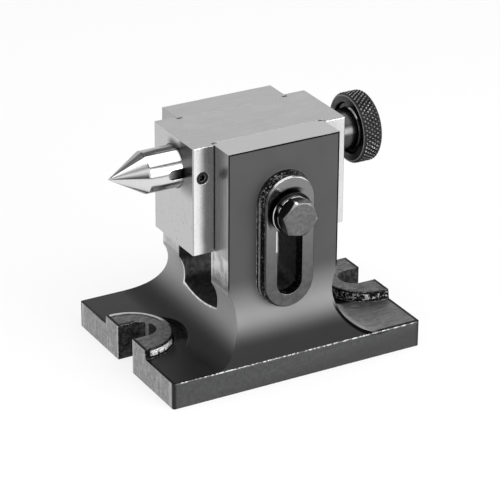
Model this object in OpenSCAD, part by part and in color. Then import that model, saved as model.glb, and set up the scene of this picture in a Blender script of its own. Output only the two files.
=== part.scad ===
// Tailstock for a small rotary table: a cast base with two cheeks, a block
// that slides up and down between them, and a 60 degree centre that a knurled
// knob winds in and out.
// Origin: middle of the underside of the base. +X points to the knob, the
// clamp bolt faces -Y and +Z is up. All lengths are in millimetres.

/* [Base] */
// Length of the base, along the centre
base_length = 132; // [126:1:160]
// Width of the base, across the centre
base_width = 96; // [90:1:120]
// Thickness of the base plate
base_thickness = 13; // [11:0.5:16]
// Radius of the upright corners of the base plate
base_corner = 1.2; // [0.6:0.2:2]

/* [End slots] */
// Width of the open slot at each end, for a hold-down bolt
end_slot_width = 15; // [12:0.5:17]
// Length of each slot, from the end of the base to its round end
end_slot_depth = 15.5; // [13:0.5:18]
// Radius of the machined top of the boss round each slot
boss_radius = 20; // [18:0.5:21]
// Distance from the end of the base to the middle of the boss
boss_setback = 2.5; // [1:0.5:4]
// Height of the boss above the base plate
boss_height = 4.6; // [3:0.2:6]
// Draft of the boss, as the extra radius at its foot
boss_draft = 1; // [0.4:0.2:1.6]
// Radius of the rough pocket that clears the boss at the foot of the upright
pocket_radius = 24.5; // [23:0.5:28]
// Width of that pocket between the boss and its wall
pocket_gap = 7.5; // [5:0.5:9]

/* [Upright] */
// Length of the upright between its machined end faces
upright_length = 58; // [54:1:64]
// Width of the upright over the outer faces of the cheeks
upright_width = 64; // [60:1:70]
// Height of the tops of the cheeks above the table
upright_height = 112; // [106:1:124]
// Radius of the hollow curve from each end face to the base
end_curve_radius = 18.5; // [16:0.5:20]
// Depth that the hollow curve cuts in behind the end face
end_curve_undercut = 3.2; // [2:0.1:6]
// Height above the table where the cheeks start to flare out to the base
flare_top = 43; // [36:1:50]

/* [Slide channel] */
// Width of the channel between the cheeks
channel_width = 32; // [30:0.5:35]
// Height of the channel floor above the table, along the cheeks
channel_floor = 28; // [24:0.5:30]
// Depth of the shallow hollow across the channel floor
floor_hollow = 2; // [1:0.25:3]

/* [Clamp pad] */
// Width of the pad round the clamp slot, over the chamfer of its face
pad_width = 26; // [23:0.2:28]
// Chamfer round the machined face of the pad
pad_chamfer = 0.6; // [0.3:0.1:0.9]
// Height of the pad above the cheek
pad_height = 6; // [4:0.5:8]
// Draft of the pad, as the extra half width at its foot
pad_draft = 1.3; // [0.5:0.1:2.4]
// Width of the clamp slot
clamp_slot_width = 13.3; // [11.5:0.1:15]
// Length of the slot above the clamp bolt, from axis to arc centre
clamp_slot_up = 4.6; // [2:0.1:8]
// Length of the slot below the clamp bolt, from axis to arc centre
clamp_slot_down = 35.2; // [30:0.1:38]

/* [Sliding block] */
// Length of the block over its two end flanges
block_length = 80; // [76:1:90]
// Height of the block
block_height = 53; // [48:0.5:56]
// Width of the end flanges that bear on the cheeks
block_flange_width = 37.8; // [36.6:0.2:42]
// Clearance between the block and each cheek
slide_clearance = 0.06; // [0.03:0.01:0.1]
// Gap between each end flange and the ends of the cheeks
flange_gap = 0.35; // [0.2:0.05:0.5]
// Chamfer on the upright corners of the flanges
block_chamfer = 0.5; // [0.2:0.1:1]
// Depth of the centre line below the top of the block
axis_drop = 15; // [13.5:0.5:18]

/* [Centre] */
// Diameter of the centre
centre_diameter = 20; // [18:0.5:21]
// Angle of the point
point_angle = 60; // [50:1:75]
// Reach of the point beyond the block
point_reach = 33.5; // [30:0.5:38]
// Length of the centre, from its point to its rear end
centre_length = 79.5; // [76:0.5:82]
// Width of the keyway along the centre
keyway_width = 5; // [4.4:0.1:6]
// Depth of the keyway
keyway_depth = 2.5; // [2:0.1:2.8]
// Distance that the centre can wind in
travel_in = 10; // [6:0.5:11]
// Distance that the centre can wind out
travel_out = 20; // [14:1:22]

/* [Feed screw] */
// Diameter of the feed thread
feed_diameter = 10; // [8:0.5:11]
// Diameter of the plain journal that carries the knob
journal_diameter = 8; // [6:0.5:8.5]
// Diameter of the thrust collar
collar_diameter = 17; // [15:0.5:17.5]
// Thickness of the thrust collar
collar_thickness = 4; // [3:0.5:5]
// Thickness of the wall behind the collar
rear_wall = 12; // [9:0.5:14]
// Outer diameter of the bush in that wall
bush_diameter = 12; // [11:0.5:13]
// Thickness of the flange of the bush
bush_flange = 1.8; // [1.2:0.1:2.5]

/* [Knob] */
// Diameter of the knurled rim
knob_diameter = 34.3; // [30:0.1:38]
// Width of the rim
knob_width = 10; // [8:0.5:13]
// Distance from the block to the rim
knob_standoff = 12.3; // [10:0.1:15]
// Diameter of the hub
hub_diameter = 19.6; // [17:0.2:22]
// Chamfer on the edges of the rim
knob_chamfer = 1.2; // [0.6:0.1:2]
// Width of the dished ring round the hub
dish_width = 2.6; // [1.5:0.1:3.5]
// Depth of the dished ring and of the hollow in the outer face
dish_depth = 1.5; // [0.5:0.1:2]
// Diameter of the pin through the hub
knob_pin_diameter = 3; // [2:0.5:3.5]

/* [Clamp bolt] */
// Thread diameter of the clamp bolt
bolt_diameter = 10; // [8:0.5:10.5]
// Width across the flats of its head
bolt_flats = 16; // [15:0.5:17]
// Thickness of its head
bolt_head = 5.8; // [4:0.1:8]
// Length of the bolt under its head
bolt_length = 40; // [36:0.5:40]
// Depth of the bolt below the centre line
bolt_drop = 16.6; // [16:0.1:20]
// Turn of the head from having a corner level with its middle
bolt_turn = 48; // [0:1:59]
// Outer diameter of the wide washer on the pad
washer_diameter = 20.4; // [19:0.2:26]
// Thickness of the wide washer
washer_thickness = 2; // [1.5:0.1:3.5]
// Outer diameter of the spring washer
spring_washer_diameter = 17.6; // [16:0.2:19]
// Thickness of the spring washer
spring_washer_thickness = 1.8; // [1.5:0.1:3]
// Turn of the split in the spring washer from pointing at the knob
split_turn = 141; // [0:1:359]

/* [Guide screw] */
// Thread diameter of the socket screw that guides the centre
guide_diameter = 6; // [5:0.5:6.5]
// Distance from the end of the block to the guide screw
guide_inset = 5; // [4.5:0.25:7]
// Diameter of the plain point that runs in the keyway
guide_point_diameter = 4; // [3:0.1:4.2]

/* [Key seats] */
// Width of the two seats in the underside for table-slot keys
key_width = 14; // [10:0.5:16]
// Length of each seat, from the end slot inwards
key_length = 20; // [16:0.5:24]
// Depth of the seats
key_depth = 3.5; // [2:0.5:4.5]
// Diameter of the threaded hole in each seat
key_screw_diameter = 6; // [5:0.5:6]
// Thickness of metal left above each threaded hole
key_hole_roof = 2.5; // [2:0.5:4]

/* [Hidden] */
$fn = 96;

// Clearances: radial ones between a shaft and its hole, and an overlap that cuts pass through a face
running_fit = 0.04;
seated_fit = 0.02;
through = 2;

// The base and its upright
half_length = base_length / 2;
half_width = base_width / 2;
end_face_x = upright_length / 2;
cheek_face_y = upright_width / 2;
end_curve_x = end_face_x - end_curve_undercut + end_curve_radius;
end_curve_z = base_thickness + end_curve_radius;
flare_rise = flare_top - base_thickness;
flare_run = half_width - cheek_face_y;
flare_radius = (flare_rise * flare_rise + flare_run * flare_run) / (2 * flare_run);
slot_end_x = half_length - end_slot_depth;
boss_x = half_length - boss_setback;
pocket_x = boss_x - boss_radius - pocket_gap + pocket_radius;

// The block, the centre line and the clamp bolt
block_bottom = upright_height - block_height;
block_end_x = block_length / 2;
web_half_width = channel_width / 2 - slide_clearance;
flange_face_x = end_face_x + flange_gap;
axis_z = upright_height - axis_drop;
bore_radius = centre_diameter / 2 + running_fit;
bore_end_x = block_end_x - rear_wall;
clamp_z = axis_z - bolt_drop;
pad_face_y = -cheek_face_y - pad_height;
washer_face_y = pad_face_y - washer_thickness;
bolt_seat_y = washer_face_y - spring_washer_thickness;
bolt_tip_y = bolt_seat_y + bolt_length;

// The centre and the guide screw in its keyway
point_x = -block_end_x - point_reach;
point_length = centre_diameter / 2 / tan(point_angle / 2);
centre_rear_x = point_x + centre_length;
guide_x = -block_end_x + guide_inset;
keyway_front_x = guide_x - travel_in - guide_point_diameter / 2 - 0.5;
keyway_rear_x = guide_x + travel_out + guide_point_diameter / 2 + 0.5;
keyway_floor_y = -centre_diameter / 2 + keyway_depth;

// The feed screw behind it
bush_face_x = bore_end_x - bush_flange;
collar_x = bush_face_x - collar_thickness;
feed_tip_x = centre_rear_x - travel_out - feed_diameter;
feed_bore_x = feed_tip_x - travel_in - 1.5;
rim_x = block_end_x + knob_standoff;
knob_end_x = rim_x + knob_width;
knob_seat_x = block_end_x + 0.3;
pin_x = (knob_seat_x + rim_x) / 2;

// A solid cylinder that lies along X, from one end to the other
module along_x(from, to, radius, y = 0, z = axis_z) {
    translate([from, y, z]) rotate([0, 90, 0]) cylinder(h = to - from, r = radius);
}

// A solid cylinder that lies along Y; a second radius at its far end makes a cone
module along_y(from, to, radius, x = 0, z = clamp_z, end_radius = undef) {
    last = is_undef(end_radius) ? radius : end_radius;
    translate([x, from, z]) rotate([-90, 0, 0]) cylinder(h = to - from, r1 = radius, r2 = last);
}

// A block given by its lowest and highest corners
module span_box(low, high) {
    translate(low) cube(high - low);
}

// The base plate, with rounded upright corners
module base_plate() {
    long = half_length - base_corner;
    wide = half_width - base_corner;
    span_box([-half_length, -wide, 0], [half_length, wide, base_thickness]);
    span_box([-long, -half_width, 0], [long, half_width, base_thickness]);
    for (x = [-long, long], y = [-wide, wide])
        translate([x, y, 0]) cylinder(h = base_thickness, r = base_corner);
}

// The upright: hollow curves towards both ends, and flares towards both long edges
module upright() {
    difference() {
        union() {
            span_box([-end_face_x, -half_width, 0], [end_face_x, half_width, upright_height]);
            span_box([-end_curve_x, -half_width, 0], [end_curve_x, half_width, end_curve_z]);
        }
        for (end = [-1, 1]) {
            along_y(-half_width - through, half_width + through, end_curve_radius, end * end_curve_x, end_curve_z);
            translate([end * pocket_x, 0, base_thickness]) cylinder(h = end_curve_z, r = pocket_radius);
        }
        for (side = [-1, 1]) {
            along_x(-half_length, half_length, flare_radius, side * (cheek_face_y + flare_radius), flare_top);
            translate([0, side * (cheek_face_y + half_width / 2), flare_top + upright_height / 2])
                cube([base_length, half_width, upright_height], center = true);
        }
    }
}

// The boss round an end slot, cut off by the end of the base
module end_boss(end) {
    intersection() {
        translate([end * boss_x, 0, base_thickness - 1])
            cylinder(h = boss_height + 1, r1 = boss_radius + boss_draft, r2 = boss_radius);
        span_box([-half_length, -half_width, 0], [half_length, half_width, upright_height]);
    }
}

// The raised pad round the clamp slot, with drafted sides, round ends and a chamfered face
module clamp_pad() {
    root_y = 1 - cheek_face_y;
    root_half = pad_width / 2 + pad_draft;
    rim_y = pad_face_y + pad_chamfer;
    rim_half = pad_width / 2;
    face_half = rim_half - pad_chamfer;
    low = clamp_z - clamp_slot_down;
    high = clamp_z + clamp_slot_up;
    for (z = [low, high]) {
        along_y(pad_face_y, rim_y, face_half, 0, z, rim_half);
        along_y(rim_y, root_y, rim_half, 0, z, root_half);
    }
    translate([0, 0, low]) linear_extrude(high - low)
        polygon([[-face_half, pad_face_y], [face_half, pad_face_y], [rim_half, rim_y], [root_half, root_y],
                 [-root_half, root_y], [-rim_half, rim_y]]);
}

// The clamp slot, from outside the pad into the channel
module clamp_slot() {
    low = clamp_z - clamp_slot_down;
    high = clamp_z + clamp_slot_up;
    for (z = [low, high])
        along_y(pad_face_y - through, 0, clamp_slot_width / 2, 0, z);
    span_box([-clamp_slot_width / 2, pad_face_y - through, low], [clamp_slot_width / 2, 0, high]);
}

// The channel that the block slides in, open at the top and at both ends; its floor is slightly hollow
module slide_channel() {
    half = channel_width / 2;
    reach = end_curve_x;
    lowest = channel_floor - floor_hollow;
    hollow_radius = (half * half + floor_hollow * floor_hollow) / (2 * floor_hollow);
    span_box([-reach, -half, channel_floor + 0.5], [reach, half, upright_height + through]);
    intersection() {
        along_x(-reach, reach, hollow_radius, 0, lowest + hollow_radius, $fn = 240);
        span_box([-reach, -half, lowest - 1], [reach, half, channel_floor + 1]);
    }
}

// An open slot for a hold-down bolt at one end of the base
module end_slot(end) {
    round_x = slot_end_x + end_slot_width / 2;
    open_run = half_length + through - round_x;
    height = base_thickness + boss_height + 2 * through;
    translate([end * round_x, 0, -through]) cylinder(h = height, r = end_slot_width / 2);
    translate([end * (round_x + open_run / 2), 0, height / 2 - through])
        cube([open_run, end_slot_width, height], center = true);
}

// A seat in the underside for a key that fits the table slot, with its threaded hole
module key_seat(end) {
    middle_x = slot_end_x - key_length / 2;
    translate([end * (middle_x + through / 2), 0, 0])
        cube([key_length + through, key_width, 2 * key_depth], center = true);
    translate([end * middle_x, 0, -through])
        cylinder(h = base_thickness - key_hole_roof + through, r = key_screw_diameter / 2);
}

// One casting: base plate, upright with its two cheeks, bosses and clamp pad
module base_casting() {
    color("#3d403f") difference() {
        union() {
            base_plate();
            upright();
            clamp_pad();
            for (end = [-1, 1]) end_boss(end);
        }
        slide_channel();
        clamp_slot();
        for (end = [-1, 1]) {
            end_slot(end);
            key_seat(end);
        }
    }
}

// Plan of the block: a web that fits the channel, and a flange over the cheeks at each end
module block_plan() {
    half = block_flange_width / 2;
    for (turn = [0, 180]) rotate(turn)
        polygon([[flange_face_x, -half], [block_end_x - block_chamfer, -half],
                 [block_end_x, block_chamfer - half], [block_end_x, half - block_chamfer],
                 [block_end_x - block_chamfer, half], [flange_face_x, half]]);
    square([block_length - 2 * block_chamfer, 2 * web_half_width], center = true);
}

// The block that carries the centre
module sliding_block() {
    color("#b9bbba") difference() {
        translate([0, 0, block_bottom]) linear_extrude(block_height) block_plan();
        along_x(-block_end_x - through, bore_end_x, bore_radius);
        along_x(bore_end_x - through, block_end_x + through, bush_diameter / 2 + seated_fit);
        along_y(-block_flange_width, bolt_tip_y + 0.5, bolt_diameter / 2 + running_fit);
        along_y(-block_flange_width, 0, guide_diameter / 2 + running_fit, guide_x, axis_z);
    }
}

// The keyway along the centre, with round ends
module keyway() {
    half = keyway_width / 2;
    front = keyway_front_x + half;
    rear = keyway_rear_x - half;
    for (x = [front, rear])
        along_y(-centre_diameter, keyway_floor_y, half, x, axis_z);
    span_box([front, -centre_diameter, axis_z - half], [rear, keyway_floor_y, axis_z + half]);
}

// The centre: a hardened point, a plain shank with a keyway, and a bore for the feed screw
module centre() {
    color("#d5d7d8") difference() {
        translate([0, 0, axis_z]) rotate([0, 90, 0]) rotate_extrude()
            polygon([[0, point_x], [centre_diameter / 2, point_x + point_length],
                     [centre_diameter / 2, centre_rear_x - 1], [centre_diameter / 2 - 1, centre_rear_x],
                     [0, centre_rear_x]]);
        along_x(feed_bore_x, centre_rear_x + through, feed_diameter / 2 + running_fit);
        keyway();
    }
}

// The feed screw: thread, thrust collar and the journal that the knob is pinned to
module feed_screw() {
    color("#8c8f90") difference() {
        union() {
            along_x(feed_tip_x, collar_x, feed_diameter / 2);
            along_x(collar_x, bush_face_x, collar_diameter / 2);
            along_x(bush_face_x, knob_end_x - dish_depth, journal_diameter / 2);
        }
        translate([pin_x, 0, axis_z]) cylinder(h = hub_diameter, r = knob_pin_diameter / 2 + seated_fit, center = true);
    }
}

// The bush that the journal turns in; its flange takes the thrust of the collar
module flanged_bush() {
    color("#b08d4e") difference() {
        union() {
            along_x(bush_face_x, bore_end_x, collar_diameter / 2);
            along_x(bush_face_x, block_end_x, bush_diameter / 2);
        }
        along_x(bush_face_x - through, block_end_x + through, journal_diameter / 2 + running_fit);
    }
}

// The knob: a rim, a hub that runs against the block, and a dished ring round the hub
module knob() {
    rim = knob_diameter / 2;
    hub = hub_diameter / 2;
    color("#232425") difference() {
        translate([0, 0, axis_z]) rotate([0, 90, 0]) rotate_extrude()
            polygon([[0, knob_seat_x], [hub - 0.6, knob_seat_x], [hub, knob_seat_x + 0.6],
                     [hub, rim_x + dish_depth], [hub + dish_width, rim_x + dish_depth], [hub + dish_width, rim_x],
                     [rim - knob_chamfer, rim_x], [rim, rim_x + knob_chamfer],
                     [rim, knob_end_x - knob_chamfer], [rim - knob_chamfer, knob_end_x],
                     [hub + dish_width, knob_end_x], [hub, knob_end_x - dish_depth], [0, knob_end_x - dish_depth]]);
        along_x(knob_seat_x - through, knob_end_x + through, journal_diameter / 2 + seated_fit);
        translate([pin_x, 0, axis_z]) cylinder(h = 2 * hub, r = knob_pin_diameter / 2 + seated_fit, center = true);
    }
}

// The pin through the hub of the knob and the feed screw
module knob_pin() {
    color("#6f7274") translate([pin_x, 0, axis_z])
        cylinder(h = hub_diameter - 0.6, r = knob_pin_diameter / 2, center = true);
}

// The hexagon bolt that clamps the block to the front cheek; its corners are bevelled
module clamp_bolt() {
    corner = bolt_flats / sqrt(3);
    color("#2f3132") union() {
        along_y(bolt_seat_y, bolt_tip_y, bolt_diameter / 2);
        intersection() {
            translate([0, bolt_seat_y, clamp_z]) rotate([90, 0, 0]) rotate([0, 0, bolt_turn])
                cylinder(h = bolt_head, r = corner, $fn = 6);
            union() {
                along_y(bolt_seat_y - bolt_head, bolt_seat_y - bolt_head + 1.1, corner - 1.6, 0, clamp_z, corner + 0.3);
                along_y(bolt_seat_y - bolt_head + 1.1, bolt_seat_y, corner + 0.3);
            }
        }
    }
}

// A plain ring round the clamp bolt
module ring(from, to, diameter) {
    difference() {
        along_y(from, to, diameter / 2);
        along_y(from - through, to + through, bolt_diameter / 2 + 0.4);
    }
}

// The split spring washer under the bolt head
module spring_washer() {
    color("#55585a") difference() {
        ring(bolt_seat_y, washer_face_y, spring_washer_diameter);
        translate([0, bolt_seat_y, clamp_z]) rotate([0, -split_turn, 0])
            span_box([0, -through, -0.6], [spring_washer_diameter, spring_washer_thickness + through, 0.6]);
    }
}

// The wide washer that bridges the clamp slot
module clamp_washer() {
    color("#3c3f40") ring(washer_face_y, pad_face_y, washer_diameter);
}

// The socket set screw whose plain point runs in the keyway
module guide_screw() {
    face_y = 0.4 - block_flange_width / 2;
    thread_end_y = -centre_diameter / 2 - 0.5;
    color("#2a2c2d") difference() {
        union() {
            along_y(face_y, thread_end_y, guide_diameter / 2, guide_x, axis_z);
            along_y(thread_end_y, keyway_floor_y - 0.2, guide_point_diameter / 2, guide_x, axis_z);
        }
        translate([guide_x, face_y - through, axis_z]) rotate([-90, 0, 0])
            cylinder(h = through + 3, r = guide_diameter / 2 / sqrt(3), $fn = 6);
    }
}

base_casting();
sliding_block();
centre();
feed_screw();
flanged_bush();
knob();
knob_pin();
clamp_bolt();
spring_washer();
clamp_washer();
guide_screw();
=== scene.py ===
import math

import bmesh
import bpy
from mathutils import Matrix, Vector


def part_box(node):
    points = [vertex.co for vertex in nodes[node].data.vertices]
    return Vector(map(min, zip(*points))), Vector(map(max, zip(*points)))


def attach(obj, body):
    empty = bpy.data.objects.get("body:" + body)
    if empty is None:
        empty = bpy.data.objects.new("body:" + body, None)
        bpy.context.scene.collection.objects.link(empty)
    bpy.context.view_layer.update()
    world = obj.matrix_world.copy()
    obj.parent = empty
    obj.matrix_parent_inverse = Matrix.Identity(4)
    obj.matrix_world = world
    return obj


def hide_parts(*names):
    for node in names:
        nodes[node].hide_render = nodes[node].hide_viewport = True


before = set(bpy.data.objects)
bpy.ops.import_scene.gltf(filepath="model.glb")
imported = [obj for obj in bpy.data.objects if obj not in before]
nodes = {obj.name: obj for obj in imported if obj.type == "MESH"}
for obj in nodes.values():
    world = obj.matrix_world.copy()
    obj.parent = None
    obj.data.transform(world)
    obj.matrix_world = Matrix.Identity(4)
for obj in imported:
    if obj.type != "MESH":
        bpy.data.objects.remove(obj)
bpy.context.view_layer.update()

# Lengths are in millimetres in the part's own frame; Blender works in metres
MM = 0.001

# The base of the casting: plate, bosses, the pockets behind them and the end slots
CASTING_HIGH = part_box("base_casting")[1]
HALF_LENGTH = CASTING_HIGH.x / MM
HALF_WIDTH = CASTING_HIGH.y / MM
BASE_TOP = 13.0
BOSS_X = 63.5
BOSS_RADIUS = 20.0
BOSS_TOP = 17.6
POCKET_X = 60.5
POCKET_RADIUS = 24.6
POCKET_TOP = 30.0
END_SLOT_X = 50.5
END_SLOT_HALF = 7.5

# The upright: end faces, the hollow curves under them, flares, cheeks and the channel
UPRIGHT_END = 29.0
UPRIGHT_TOP = CASTING_HIGH.z / MM
END_CURVE_X = 44.3
END_CURVE_Z = 31.5
END_CURVE_RADIUS = 18.5
FLARE_TOP = 43.2
CHEEK_Y = 32.0
CHANNEL_Y = 16.0
CHANNEL_FLOOR = 26.0
CHANNEL_HOLLOW = 130.0

# The pad on the near cheek and the clamp slot in it
PAD_FACE_Y = -38.0
PAD_HALF = 13.0
PAD_LOW = 28.0
CLAMP_SLOT_HALF = 6.65
CLAMP_SLOT_LOW = 45.2
CLAMP_SLOT_HIGH = 85.0

# The clamp bolt
BOLT_FACE_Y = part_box("clamp_bolt")[0].y / MM
BOLT_Z = 80.4

# The block, the centre line through it and where the centre's point begins
BLOCK_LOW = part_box("sliding_block")[0]
BLOCK_LEFT = BLOCK_LOW.x / MM
BLOCK_BOTTOM = BLOCK_LOW.z / MM
AXIS_Z = 97.0
CONE_END_X = -57.0

# The knob: hub, dished ring and knurled rim
KNOB_LOW, KNOB_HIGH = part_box("knob")
HUB_FRONT = 40.3
KNOB_BACK = KNOB_HIGH.x / MM
KNOB_WIDTH = 10.0
KNOB_FRONT = KNOB_BACK - KNOB_WIDTH
KNOB_RADIUS = (KNOB_HIGH.z - KNOB_LOW.z) / 2 / MM
KNOB_CHAMFER = 1.1
RING_RADIUS = 15.75
HUB_RADIUS = 9.8
JOURNAL_RADIUS = 4.02
DISH_WIDTH = 2.6
DISH_DEPTH = 1.5
KNURL_CELLS = 48
KNURL_STEPS = 12
KNURL_DEPTH = 0.7
KNURL_CELL_LENGTH = 2.9


def grey(level, tint=0.0):
    """A nearly neutral colour; tint above 0 is greener and cooler."""
    return (level * (1 - tint), level, level * (1 - tint / 2), 1.0)


class Finish:
    """One material: a Principled shader, its base colour, and masks and grains in the part's millimetres."""

    def __init__(self, name):
        self.material = bpy.data.materials.new(name)
        self.material.use_nodes = True
        self.tree = self.material.node_tree
        self.shader = self.tree.nodes["Principled BSDF"]
        self.shader.inputs["Metallic"].default_value = 1.0
        coordinates = self.node("ShaderNodeTexCoord")
        self.place = self.vector_math("SCALE", coordinates.outputs["Object"], scale=1 / MM)
        self.x, self.y, self.z = self.split(self.place)
        self.nx, self.ny, self.nz = self.split(coordinates.outputs["Normal"])
        self.color = None

    def node(self, kind, **settings):
        made = self.tree.nodes.new(kind)
        for key, value in settings.items():
            setattr(made, key, value)
        return made

    def plug(self, value, socket):
        if isinstance(value, bpy.types.NodeSocket):
            self.tree.links.new(value, socket)
        else:
            socket.default_value = value

    def split(self, vector):
        parts = self.node("ShaderNodeSeparateXYZ")
        self.plug(vector, parts.inputs[0])
        return parts.outputs[0], parts.outputs[1], parts.outputs[2]

    def math(self, operation, first, second=0.0):
        made = self.node("ShaderNodeMath", operation=operation)
        self.plug(first, made.inputs[0])
        self.plug(second, made.inputs[1])
        return made.outputs[0]

    def plus(self, first, second):
        return self.math("ADD", first, second)

    def minus(self, first, second):
        return self.math("SUBTRACT", first, second)

    def times(self, first, second):
        return self.math("MULTIPLY", first, second)

    def size_of(self, value):
        return self.math("ABSOLUTE", value)

    def away(self, value, middle):
        """How far a value is from a middle one, on either side of it."""
        return self.size_of(self.minus(value, middle))

    def distance(self, across, along, middle_across, middle_along):
        """How far a point is from an axis, in the plane of two coordinates."""
        first = self.minus(across, middle_across)
        second = self.minus(along, middle_along)
        return self.math("SQRT", self.plus(self.times(first, first), self.times(second, second)))

    def vector_math(self, operation, first, second=(0, 0, 0), scale=1.0):
        made = self.node("ShaderNodeVectorMath", operation=operation)
        self.plug(first, made.inputs[0])
        self.plug(second, made.inputs[1])
        if operation == "SCALE":
            self.plug(scale, made.inputs["Scale"])
        return made.outputs["Value" if operation == "DOT_PRODUCT" else "Vector"]

    def remap(self, value, low, high, to_low=0.0, to_high=1.0):
        made = self.node("ShaderNodeMapRange", interpolation_type="SMOOTHSTEP")
        for socket, setting in zip(made.inputs, (value, low, high, to_low, to_high)):
            self.plug(setting, socket)
        return made.outputs[0]

    def above(self, value, edge, soft=0.1):
        return self.remap(value, edge - soft, edge + soft)

    def below(self, value, edge, soft=0.1):
        return self.remap(value, edge - soft, edge + soft, 1.0, 0.0)

    def between(self, value, low, high, soft_low=0.1, soft_high=0.1):
        """1 from low to high, with an edge of its own softness at each."""
        return self.times(self.above(value, low, soft_low), self.below(value, high, soft_high))

    def both(self, *masks):
        result = masks[0]
        for mask in masks[1:]:
            result = self.times(result, mask)
        return result

    def either(self, *masks):
        result = masks[0]
        for mask in masks[1:]:
            result = self.math("MAXIMUM", result, mask)
        return result

    def without(self, mask):
        return self.minus(1.0, mask)

    def noise(self, size, detail=4.0, roughness=0.55, stretch=(1, 1, 1), twist=0.0, offset=0.0):
        """Cloudy grain of about that size; stretch draws it out along X, Y or Z."""
        made = self.node("ShaderNodeTexNoise")
        scaled = self.vector_math("DIVIDE", self.place, tuple(size * part for part in stretch))
        moved = self.vector_math("ADD", scaled, (offset, offset * 1.7, offset * 0.6))
        self.plug(moved, made.inputs["Vector"])
        made.inputs["Scale"].default_value = 1.0
        made.inputs["Detail"].default_value = detail
        made.inputs["Roughness"].default_value = roughness
        made.inputs["Distortion"].default_value = twist
        return made.outputs[0]

    def mix(self, factor, first, second):
        """From the first colour to the second as the factor goes from 0 to 1."""
        made = self.node("ShaderNodeMix", data_type="RGBA")
        self.plug(factor, made.inputs[0])
        self.plug(first, made.inputs[6])
        self.plug(second, made.inputs[7])
        return made.outputs[2]

    def blend(self, factor, first, second):
        """The same for numbers."""
        made = self.node("ShaderNodeMix", data_type="FLOAT")
        self.plug(factor, made.inputs[0])
        self.plug(first, made.inputs[2])
        self.plug(second, made.inputs[3])
        return made.outputs[0]

    def shades(self, grain, low, high, dark, light):
        """Greys from dark to light as a grain goes from low to high."""
        return self.mix(self.remap(grain, low, high), grey(dark), grey(light))

    def paint(self, mask, color):
        """Lays a colour over the base colour where the mask is 1."""
        self.color = self.mix(mask, self.color, color)

    def rounded(self, radius):
        """The normal as if sharp edges were rounded to that radius."""
        made = self.node("ShaderNodeBevel", samples=8)
        made.inputs["Radius"].default_value = radius * MM
        return made.outputs[0]

    def edges(self, rounded):
        """1 along sharp edges, where the rounded normal leaves the surface's own."""
        geometry = self.node("ShaderNodeNewGeometry")
        same = self.vector_math("DOT_PRODUCT", rounded, geometry.outputs["Normal"])
        return self.remap(self.minus(1.0, same), 0.02, 0.12)

    def bump(self, height, depth, strength=1.0, normal=None):
        """Relief of that depth in millimetres where height goes from 0 to 1."""
        made = self.node("ShaderNodeBump")
        made.inputs["Distance"].default_value = depth * MM
        self.plug(strength, made.inputs["Strength"])
        self.plug(height, made.inputs["Height"])
        if normal is not None:
            self.plug(normal, made.inputs["Normal"])
        return made.outputs[0]

    def done(self, **sockets):
        """Plugs in the colour and the rest, each a plain value or a socket, and gives the material."""
        names = {"roughness": "Roughness", "metallic": "Metallic", "normal": "Normal",
                 "specular": "Specular IOR Level", "specular_tint": "Specular Tint"}
        self.plug(self.color, self.shader.inputs["Base Color"])
        for key, value in sockets.items():
            self.plug(value, self.shader.inputs[names[key]])
        return self.material


def find_directions(f):
    """Which way the surface faces, and how far out it lies on either side of the middle."""
    f.wide_x, f.wide_y = f.size_of(f.x), f.size_of(f.y)
    f.facing_x, f.facing_y = f.size_of(f.nx), f.size_of(f.ny)
    f.left = f.below(f.x, 0.0)
    f.right = f.above(f.x, 0.0)
    f.near = f.below(f.y, 0.0)
    f.far = f.above(f.y, 0.0)
    f.low = f.below(f.z, BOSS_TOP + 0.1)
    f.flat_top = f.above(f.nz, 0.9, 0.05)
    f.standing = f.below(f.size_of(f.nz), 0.7, 0.1)
    f.endways = f.above(f.facing_x, 0.9, 0.05)
    f.sideways = f.above(f.facing_y, 0.9, 0.05)


def find_grains(f):
    """Clouds and stains, the lines that the tools left, and where edges are chipped."""
    f.haze = f.noise(14.0, 5.0, 0.6)
    f.mottle = f.noise(2.2, 6.0, 0.65, offset=4.0)
    f.grit = f.noise(0.9, 3.0, 0.7, offset=9.0)
    f.lumps = f.noise(1.7, 4.0, 0.7, twist=0.6, offset=2.0)
    f.grinding = f.noise(0.5, 4.0, 0.7, stretch=(30, 1, 30), offset=1.0)
    f.milling = f.noise(0.45, 3.0, 0.6, stretch=(1, 1, 26), offset=6.0)
    f.swirl = f.noise(0.5, 4.0, 0.65, stretch=(20, 1.3, 8), offset=3.0)
    f.chips = f.remap(f.noise(1.6, 3.0, 0.7, offset=12.0), 0.44, 0.6)
    f.patches = f.remap(f.noise(4.0, 3.0, 0.6, offset=15.0), 0.30, 0.42)


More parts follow.
